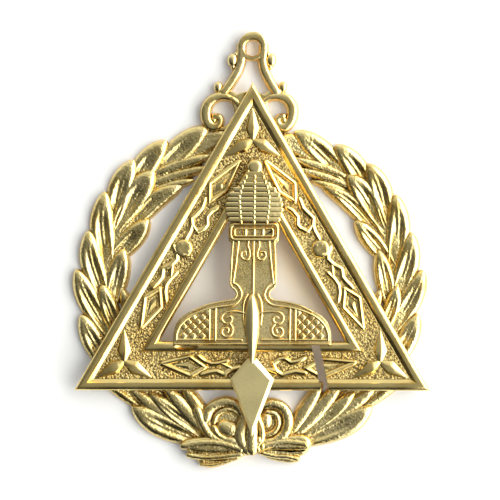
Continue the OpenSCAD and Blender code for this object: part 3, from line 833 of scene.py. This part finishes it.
# Width of the volute at shares of its length
VOLUTE_AT = [0, 0.2, 0.35, 0.58, 0.8, 1]
VOLUTE_W = [1.1, 1.2, 1.9, 2.3, 1.9, 1.2]
KNOBS = [
    # across, down, radius, rise, stretch along y
    (7.4, -15.2, 0.8, 0.8, 1.0), (4.05, -2.5, 1.12, 1.0, 1.3), (3.9, -3.9, 0.55, 0.6, 1.1),
    (3.35, -1.3, 0.5, 0.7, 1.2), (6.8, -8.15, 0.95, 0.85, 1.25), (6.1, -9.1, 0.6, 0.7, 1.3),
    (6.7, -9.5, 0.5, 0.6, 1.0),
]
WEB = [(2.9, -9.6), (4.4, -8.6), (5.6, -9.6), (5.0, -10.6), (3.9, -11.3), (3.1, -13.5),
       (3.8, -15.7), (5.4, -16.5), (6.9, -16.7), (6.9, -17.5), (0.0, -17.5), (0.0, -8.9)]


def at_hole(points):
    """Points of the hanger in the row frame."""
    return np.array(points, float) + HOLE


def hanger_side():
    """One arm, its volute and knobs, and the web that ties them."""
    shells = [ridge(at_hole(smooth_line(ARM)), 1.8, HANGER_TOP, HANGER_MID, HANGER_ROOT, flat=0.6,
                    splay=0.22)]
    volute = smooth_line(VOLUTE, 0.3)
    share = np.linspace(0, 1, len(volute))
    width = np.interp(share, VOLUTE_AT, VOLUTE_W)
    rise = np.interp(share, [0, 0.25, 1], [0.6, 1.0, 1.0]) * HANGER_TOP
    shells.append(ridge(at_hole(volute), width, rise, HANGER_MID, HANGER_ROOT, flat=0.65,
                        splay=0.22))
    for x, y, radius, rise, tall in KNOBS:
        shells.append(dome(at_hole([(x, y)])[0], radius, rise, HANGER_MID, HANGER_ROOT,
                           stretch=(1.0, tall)))
    shells.append(plate(at_hole(WEB), HANGER_BASE, HANGER_BASE + 0.62 * HANGER_T, edge=0.3))
    return shells


def hanger_loop():
    """Ring round the hole, broader at its top than at its foot."""
    rings = []
    middle = 2.37
    for p in arc(HOLE, middle, 0, 360, 0.3)[:-1]:
        way = (p - HOLE) / middle
        half = 0.74 + 0.2 * way[1]
        p = HOLE + way * (BORE_R + half)
        ring = [[*(p + way * half * np.sign(math.cos(a)) * abs(math.cos(a)) ** 0.5),
                 HANGER_MID + 0.55 * HANGER_T * math.sin(a) ** 0.5]
                for a in np.linspace(0, math.pi, 9)]
        rings.append(ring + [[*(p - way * half), HANGER_BASE], [*(p + way * half), HANGER_BASE]])
    return looped(rings)


def hanger_piece():
    """Loop, crossbar, arms and volutes, leant as one."""
    bar = ridge(at_hole(straight([(-2.2, -2.15), (2.2, -2.15)])), 0.9, 0.4 * HANGER_T, HANGER_MID,
                HANGER_ROOT)
    shells = [hanger_loop(), bar] + both(hanger_side())
    shells = [sheared(s, HANGER_LEAN, HOLE[1]) for s in shells]
    material = gilt("gilt_cast_hanger", rough=(0.15, 0.27), hollow_shade=0.6, wavy=0.08)
    return fused("hanger_casting", shells, "hanger", material)


# Wreath. Points are in the row frame

# Radius of the stem about the middle of the triangle
STEM_R = 31.29
# Columns: tip x and y, middle x and y, base x and y, greatest width, height at the base and at
# the tip, depth of the hollow. Millimetres, left half
LEAVES = [
    (-36.0, -13.8, -33.3, -19.6, -28.5, -27.2, 4.8, 1.2, 2.1, 0.65),
    (-37.1, -4.3, -34.5, -10.6, -29.7, -18.8, 4.8, 1.2, 2.15, 0.7),
    (-34.5, 3.9, -33.7, -3.0, -30.3, -12.5, 5.0, 1.2, 2.15, 0.7),
    (-31.0, 12.1, -31.6, 4.3, -29.9, -5.8, 5.2, 1.2, 2.15, 0.85),
    (-24.9, 18.8, -27.6, 13.1, -29.7, 3.9, 5.2, 1.2, 2.15, 0.7),
    (-18.0, 22.8, -21.9, 18.4, -27.2, 10.6, 5.2, 1.2, 2.1, 0.7),
    (-9.1, 25.7, -14.0, 21.9, -21.7, 14.4, 5.5, 1.2, 2.1, 0.65),
    (-2.8, 22.4, -8.3, 23.0, -15.0, 19.0, 4.6, 1.3, 1.9, 0.15),
    (-33.1, -25.1, -27.4, -28.9, -20.9, -34.3, 4.8, 1.1, 2.0, 0.5),
    (-25.3, -33.1, -20.1, -36.6, -10.4, -40.8, 5.2, 1.5, 2.15, 0.5),
    (-27.4, -8.5, -26.4, -11.2, -23.8, -16.3, 2.9, 1.0, 1.9, 0.2),
    (-27.0, 0.1, -28.2, -5.1, -30.3, -13.3, 4.8, 1.1, 2.1, 0.7),
    (-21.7, 6.2, -25.3, 2.2, -30.6, -3.3, 4.8, 1.2, 2.15, 0.7),
    (-14.6, 13.5, -20.7, 10.0, -28.9, 1.8, 4.4, 1.1, 2.0, 0.6),
    (-12.1, 14.6, -17.7, 13.1, -23.8, 10.6, 2.3, 1.0, 1.7, 0),
    (-9.1, 17.3, -15.4, 15.6, -22.2, 13.5, 2.5, 1.1, 1.8, 0),
    (-8.3, 19.8, -15.4, 17.7, -21.7, 15.6, 2.7, 1.1, 1.95, 0),
    (-31.6, -7.5, -30.3, -12.1, -27.2, -19.6, 4.2, 1.3, 2.15, 0.6),
    (-20.7, 16.5, -24.3, 11.7, -28.9, 4.3, 5.9, 1.3, 2.2, 0.85),
    (-26.4, -28.5, -20.9, -33.1, -10.8, -39.8, 3.4, 1.4, 1.8, 0),
    (-21.7, -30.1, -16.7, -34.5, -8.7, -40.4, 3.8, 1.5, 2.1, 0.4),
    (-19.0, -28.0, -14.4, -33.5, -8.1, -40.4, 3.6, 1.6, 2.15, 0),
    (-14.8, -28.0, -11.4, -33.5, -6.8, -40.8, 3.4, 1.8, 2.2, 0),
]

# Places across a leaf, as shares of its half width, closer towards its edge
LEAF_CUTS = (1.0, 0.97, 0.92, 0.85, 0.77, 0.68, 0.58, 0.48, 0.38, 0.29, 0.2, 0.12, 0.06)


def leaf(row, rows=30):
    """One laurel leaf: round shoulders on each side of a narrow hollow with a midrib."""
    tip, mid, base, width, low, high, deep = (row[0:2], row[2:4], row[4:6], *row[6:10])
    line = smooth_line([base, mid, tip], 0.1)
    share = np.sin(np.linspace(0, math.pi / 2, rows)) ** 1.1
    pick = share * (len(line) - 1)
    centre = np.stack([np.interp(pick, np.arange(len(line)), line[:, k]) for k in (0, 1)], axis=1)
    way = tangents(centre)
    outer = np.array(LEAF_CUTS)
    across = np.concatenate([-outer, [0.0], outer[::-1]])
    size = np.abs(across)
    shoulder = (1 - size ** 2.5) ** 0.66
    sink = np.exp(-(size / 0.4) ** 3)
    rib = np.exp(-(size / 0.15) ** 2)
    widest = 0.55
    rings = []
    for s, p, t in zip(share, centre, way):
        side = np.array([-t[1], t[0]])
        if s > widest:
            grow = max(0.0, 1 - ((s - widest) / (1 - widest)) ** 2.1) ** 0.62
        else:
            grow = 0.4 + 0.6 * math.sin(math.pi / 2 * s / widest)
        half = max(0.04, width / 2 * grow)
        crest = low + (high - low) * min(1.0, s / 0.75)
        edge = 0.42 * crest
        crest = edge + (crest - edge) * max(0.0, min(1.0, half / (0.33 * width))) ** 0.6
        begin = min(1.0, s / 0.15)
        hollow = 1.15 * deep * begin * min(1.0, max(0.0, (0.86 - s) / 0.3)) * (1.5 - 0.8 * s)
        vein = 0.3 * deep * begin * min(1.0, max(0.0, (0.9 - s) / 0.3))
        z = edge + (crest - edge) * shoulder - hollow * sink + vein * rib
        xy = p + np.outer(across * half, side)
        draft = side * 0.18
        rings.append(np.vstack([np.column_stack([xy, z]), [[*(xy[-1] + draft), 0.0]],
                                [[*(xy[0] - draft), 0.0]]]))
    return loft(rings)


def drawn_in(shell, depth=1.0, inner=25.0, outer=32.0, low=-30.0, full=-24.0):
    """The same shell with its outer part nearer to the middle of the wreath.

    The right half of the wreath is narrower than the left. depth is how far its outer edge moves,
    inner and outer are the radii between which that sets in, low and full the levels along Y.
    """
    points, faces = shell
    moved = np.array(points, float)
    arm = moved[:, :2] - CENTRE
    radius = np.maximum(np.linalg.norm(arm, axis=1), 1e-6)
    share = np.clip((radius - inner) / (outer - inner), 0, 1)
    share = share * np.clip((moved[:, 1] - low) / (full - low), 0, 1)
    moved[:, :2] -= arm / radius[:, None] * (depth * share)[:, None]
    return moved, faces


def wreath_half():
    """Leaves of the left half and stem of the right half, to be joined by their mirror images."""
    shells = [leaf(row) for row in LEAVES]
    shells.append(ridge(arc(CENTRE, STEM_R, -84, 78, 0.8), 4.6, 0.5, 0.5, root=0.5))
    return shells


# Bow. The two sides differ, as ribbon does. Columns: width, top height, points
ROLLS = [
    (2.3, 2.7, [(-9.7, -35.6), (-8.6, -33.3), (-5.8, -32.1), (-3.2, -32.7), (-1.9, -34.6)]),
    (1.3, 2.4, [(-8.0, -36.4), (-7.2, -34.7), (-5.2, -33.7), (-3.2, -34.4), (-1.9, -36.2)]),
    (2.0, 2.7, [(-11.4, -34.0), (-10.0, -37.4), (-8.2, -39.6), (-4.6, -41.0)]),
    (1.5, 2.75, [(-7.9, -37.6), (-7.2, -38.9), (-5.7, -39.9), (-3.8, -40.2)]),
    (2.3, 2.8, [(2.0, -32.6), (4.7, -32.5), (6.9, -33.8), (7.6, -36.3), (6.8, -38.8), (4.9, -40.5)]),
    (1.5, 2.5, [(3.2, -34.3), (5.0, -34.8), (5.6, -36.6), (4.8, -38.3), (3.3, -39.0)]),
    (2.6, 3.1, [(-1.0, -34.8), (-2.1, -37.5), (-2.4, -39.5), (-1.8, -41.2), (-0.9, -42.1)]),
    (1.6, 3.1, [(1.0, -34.8), (1.9, -37.4), (2.1, -39.4), (1.4, -41.0), (0.6, -42.2)]),
    (1.8, 3.0, [(-14.2, -41.3), (-10.5, -40.7), (-6.5, -40.9), (-2.4, -42.0)]),
    (1.4, 2.55, [(-13.2, -43.3), (-10.0, -43.8), (-6.5, -43.6), (-2.4, -43.1)]),
    (1.0, 2.0, [(-10.6, -45.3), (-8.0, -45.3), (-5.4, -44.7), (-3.0, -43.9)]),
    (1.7, 3.0, [(1.2, -41.9), (4.2, -41.0), (7.4, -40.5), (11.2, -40.9)]),
    (1.2, 2.5, [(1.6, -42.6), (4.6, -43.4), (7.4, -43.6), (9.6, -44.1)]),
]
# Soft folds of the tails, lowest first. Columns: top height, outline
TAILS = [
    (1.7, [(-11.7, -43.4), (-7.7, -43.8), (-2.2, -43.2), (-2.8, -44.2), (-6.2, -45.6),
           (-9.1, -46.1), (-11.0, -45.2)]),
    (2.2, [(-14.0, -41.7), (-10.8, -42.1), (-0.9, -41.7), (-0.9, -43.2), (-4.9, -44.4),
           (-9.6, -44.4), (-12.5, -43.4)]),
    (2.75, [(-14.8, -40.6), (-11.9, -39.6), (-6.2, -39.6), (-1.2, -40.4), (-0.9, -42.1),
            (-5.6, -42.9), (-10.8, -42.9), (-13.5, -42.1)]),
    (1.6, [(2.2, -42.5), (8.1, -42.9), (10.0, -43.2), (9.8, -44.8), (7.0, -45.0), (3.5, -44.2)]),
    (2.1, [(1.2, -41.5), (7.0, -41.9), (11.7, -41.7), (10.8, -43.4), (6.4, -43.8), (1.8, -43.2)]),
    (2.7, [(0.9, -40.2), (4.9, -39.4), (10.2, -39.0), (12.3, -40.0), (12.3, -41.7), (10.6, -42.3),
           (6.0, -42.3), (1.2, -42.1)]),
]
# Flat discs under the rolled ends. Columns: across, up, radius
DISCS = [(-5.5, -36.4, 4.1), (4.0, -36.4, 4.2)]
# Crumpled ribbon beside the knot. Columns: across, up
CRUMPLES = [(1.3, -42.0), (0.8, -40.8), (2.2, -41.3), (1.5, -39.9)]
# Middles of the two rolls
BALL_AT = (-4.9, -37.9)
HUB_AT = (2.9, -36.0)


def bow():
    """Scrolled ribbon ends and the two tails."""
    shells = [plate(smooth_closed(outline), 0, top, edge=0.85, steps=4) for top, outline in TAILS]
    for x, y, radius in DISCS:
        shells.append(plate(arc((x, y), radius, 0, 360, 0.4)[:-1], 0, 1.7, edge=0.3))
    for spot in CRUMPLES:
        shells.append(dome(spot, 0.55, 0.6, 2.7, root=1.0, stretch=(1.0, 1.3), sides=10))
    round_part = 0.85
    for width, top, points in ROLLS:
        shells.append(ridge(smooth_line(points, 0.4), width, round_part, top - round_part,
                            root=top - 0.95))
    shells.append(dome(BALL_AT, 2.3, 1.3, 1.4, root=1.0, stretch=(1.25, 0.9), turn=-20))
    shells.append(dome(HUB_AT, 1.6, 1.1, 1.6, root=1.0, stretch=(0.95, 1.25)))
    return shells


def wreath_piece():
    """The wreath with the bow and the knot, as one casting. The mirror images are drawn in."""
    half = wreath_half()
    shells = half + [drawn_in(mirrored(s)) for s in half] + bow()
    knot = ridge(straight([(0, -42.0), (0, -36.6)]), 2.6, 1.2, 2.4, root=2.4, flat=0.8)
    shells.append(knot)
    material = gilt("gilt_cast", rough=(0.14, 0.25), grain=0.4, grain_in="hollows", hollow_shade=0.9,
                    wavy=0.11)
    return fused("wreath_casting", shells, "wreath", material)


triangle_piece()
temple_piece()
trowel_piece()
hanger_piece()
wreath_piece()


# Stage, light and camera

TABLE_TONES = ((0.885, 0.89, 0.88, 1), (0.92, 0.92, 0.91, 1))
# Tint of the painted shadow near the jewel, then the painted gold reflection inside the triangle
TABLE_SHADE = (0.91, 0.97, 0.99, 1)
TABLE_PAINTED_GOLD_BOUNCE = (0.88, 0.68, 0.3, 1)
# Faint painted glow of the table itself, which lifts its shadows
TABLE_GLOW = (0.86, 0.95, 1.0, 1)
TABLE_HALF = 3.0


def stage():
    """Pale table with a faint painted glow. Near the jewel it takes a painted bluish shadow tint.
    Inside the triangle it takes a painted gold reflection from the walls instead, all over and most at
    the right arm.
    """
    material, tree, shader = new_material("table")
    place = add_node(tree, "ShaderNodeTexCoord").outputs["Object"]
    noise = add_node(tree, "ShaderNodeTexNoise", {"Vector": place, "Scale": 30.0, "Detail": 2.0})
    tone = ramp(tree, noise.outputs["Fac"], list(zip((0.0, 1.0), TABLE_TONES)))
    near = add_node(tree, "ShaderNodeAmbientOcclusion", {"Distance": 6 * MM}, samples=8)
    # Painted shadow: near the jewel, where little of the sky is open, the table takes a tint
    shade = span(tree, near.outputs["AO"], 0.25, 0.6, 1.0, 0.0)
    offset = add_node(tree, "ShaderNodeVectorMath", {0: place, 1: (*(CENTRE * MM), 0.0)},
                      operation="SUBTRACT").outputs["Vector"]
    # How far a place lies towards the right side, the left side and the base
    right, left, base = [
        add_node(tree, "ShaderNodeVectorMath", {0: offset, 1: (*heading(corner + 180), 0.0)},
                 operation="DOT_PRODUCT").outputs["Value"]
        for corner in (210, 330, 90)
    ]
    farthest = maths(tree, "MAXIMUM", maths(tree, "MAXIMUM", base, right), left)
    inside = span(tree, farthest, (TRI_IN - 1) * MM, TRI_IN * MM, 1.0, 0.0)
    opening = TRI_IN - ARM_W
    # Painted gold reflection: inside the triangle the table turns gold, most near the right arm's inner
    # edge
    gold_bounce = span(tree, right, (opening - 6) * MM, opening * MM, 0.25, 0.95)
    amount = maths(tree, "MAXIMUM", shade, maths(tree, "MULTIPLY", inside, gold_bounce))
    hue = blend(tree, inside, TABLE_SHADE, TABLE_PAINTED_GOLD_BOUNCE)
    tree.links.new(blend(tree, amount, tone, hue), shader.inputs["Base Color"])
    shader.inputs["Roughness"].default_value = 0.6
    # Painted glow: the table gives off a little light of its own
    shader.inputs["Emission Color"].default_value = TABLE_GLOW
    shader.inputs["Emission Strength"].default_value = 0.1
    mesh = bpy.data.meshes.new("table")
    spots = [(TABLE_HALF * x, TABLE_HALF * y, 0) for x, y in ((-1, -1), (1, -1), (1, 1), (-1, 1))]
    mesh.from_pydata(spots, [], [(0, 1, 2, 3)])
    mesh.materials.append(material)
    table = bpy.data.objects.new("table", mesh)
    bpy.context.scene.collection.objects.link(table)


PAPER = (0.93, 0.94, 0.95, 1)
LAMP = (0.99, 0.99, 0.965, 1)


def light():
    """Studio light as a soft dome: bright on the right, mid overhead, dark on the near side."""
    world = bpy.data.worlds.new("studio")
    bpy.context.scene.world = world
    world.use_nodes = True
    tree = world.node_tree
    tree.nodes.clear()
    out = tree.nodes.new("ShaderNodeOutputWorld")
    way = add_node(tree, "ShaderNodeTexCoord").outputs["Generated"]
    split = add_node(tree, "ShaderNodeSeparateXYZ", {"Vector": way})

    def slope(axis, start, end, low, high):
        return span(tree, split.outputs[axis], start, end, low, high,
                    interpolation_type="SMOOTHSTEP")

    right = slope("X", 0.28, 0.66, 0.0, 4.3)
    far = slope("Y", 0.15, 0.9, 0.0, 0.65)
    near = slope("Y", -0.7, -0.05, 0.1, 1.0)
    left = slope("X", -0.7, -0.02, 0.35, 1.0)
    overhead = 0.335
    base = maths(tree, "MULTIPLY", maths(tree, "MULTIPLY", near, left), overhead)
    total = maths(tree, "ADD", maths(tree, "ADD", base, far), right)
    glow = add_node(tree, "ShaderNodeBackground", {"Color": LAMP, "Strength": total})
    paper = add_node(tree, "ShaderNodeBackground", {"Color": PAPER, "Strength": 1.0})
    seen = add_node(tree, "ShaderNodeLightPath").outputs["Is Camera Ray"]
    mix = add_node(tree, "ShaderNodeMixShader", {0: seen, 1: glow.outputs[0], 2: paper.outputs[0]})
    tree.links.new(mix.outputs[0], out.inputs["Surface"])


def camera():
    """Straight above the jewel, turned as the photograph is."""
    lens, sensor = 135.0, 36.0
    view_w = 105.0
    aim_x, aim_y, turn = -0.47, -0.2, 0.1
    data = bpy.data.cameras.new("camera")
    data.lens = lens
    data.sensor_width = sensor
    cam = bpy.data.objects.new("camera", data)
    bpy.context.scene.collection.objects.link(cam)
    far = view_w / 2 / (sensor / 2 / lens)
    cam.location = Vector((aim_x, aim_y, far + BACK_Z)) * MM
    cam.rotation_euler = (0, 0, math.radians(turn))
    data.clip_start, data.clip_end = 0.01, 10
    bpy.context.scene.camera = cam


stage()
light()
camera()
bpy.context.scene.view_settings.view_transform = "Standard"
bpy.context.scene.view_settings.look = "None"
